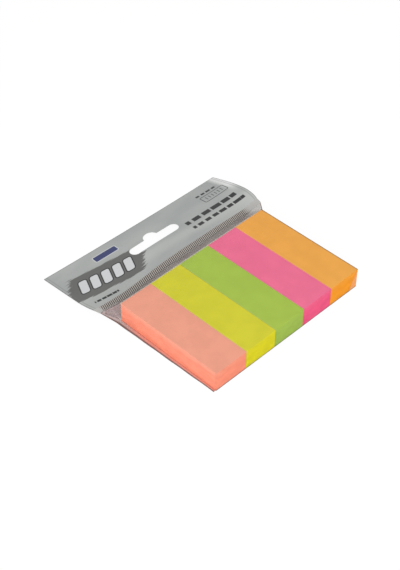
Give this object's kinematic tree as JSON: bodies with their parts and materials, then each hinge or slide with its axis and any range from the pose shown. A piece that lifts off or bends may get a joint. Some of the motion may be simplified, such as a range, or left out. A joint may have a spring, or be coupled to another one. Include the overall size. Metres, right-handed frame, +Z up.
{
  "type": "sticky index tabs",
  "caption": "Pads of coloured paper index tabs side by side in a tight clear film bag, with a ribbed weld and a flat printed header that has a hang slot.",
  "frame": {"origin": "on the surface that the bag lies on, under the middle of the pads", "axes": "+Z up, +X across the pads from the peach one to the orange one, +Y along the tabs towards the header"},
  "size_m": [0.0898, 0.0881, 0.0088],
  "materials": {
    "peach_paper": "matt coloured paper, trimmed stack",
    "yellow_paper": "matt coloured paper, trimmed stack",
    "green_paper": "matt coloured paper, trimmed stack",
    "pink_paper": "matt coloured paper, trimmed stack",
    "orange_paper": "matt coloured paper, trimmed stack",
    "release_paper": "smooth release-coated paper",
    "bag_film": "thin glossy film, clear round the pads and printed silver grey on the header"
  },
  "bodies": {
    "root": {"pad_peach": "peach_paper", "pad_yellow": "yellow_paper", "pad_green": "green_paper", "pad_pink": "pink_paper", "pad_orange": "orange_paper", "backing_sheet_peach": "release_paper", "backing_sheet_yellow": "release_paper", "backing_sheet_green": "release_paper", "backing_sheet_pink": "release_paper", "backing_sheet_orange": "release_paper", "film_bag": "bag_film"}
  },
  "joints": []
}
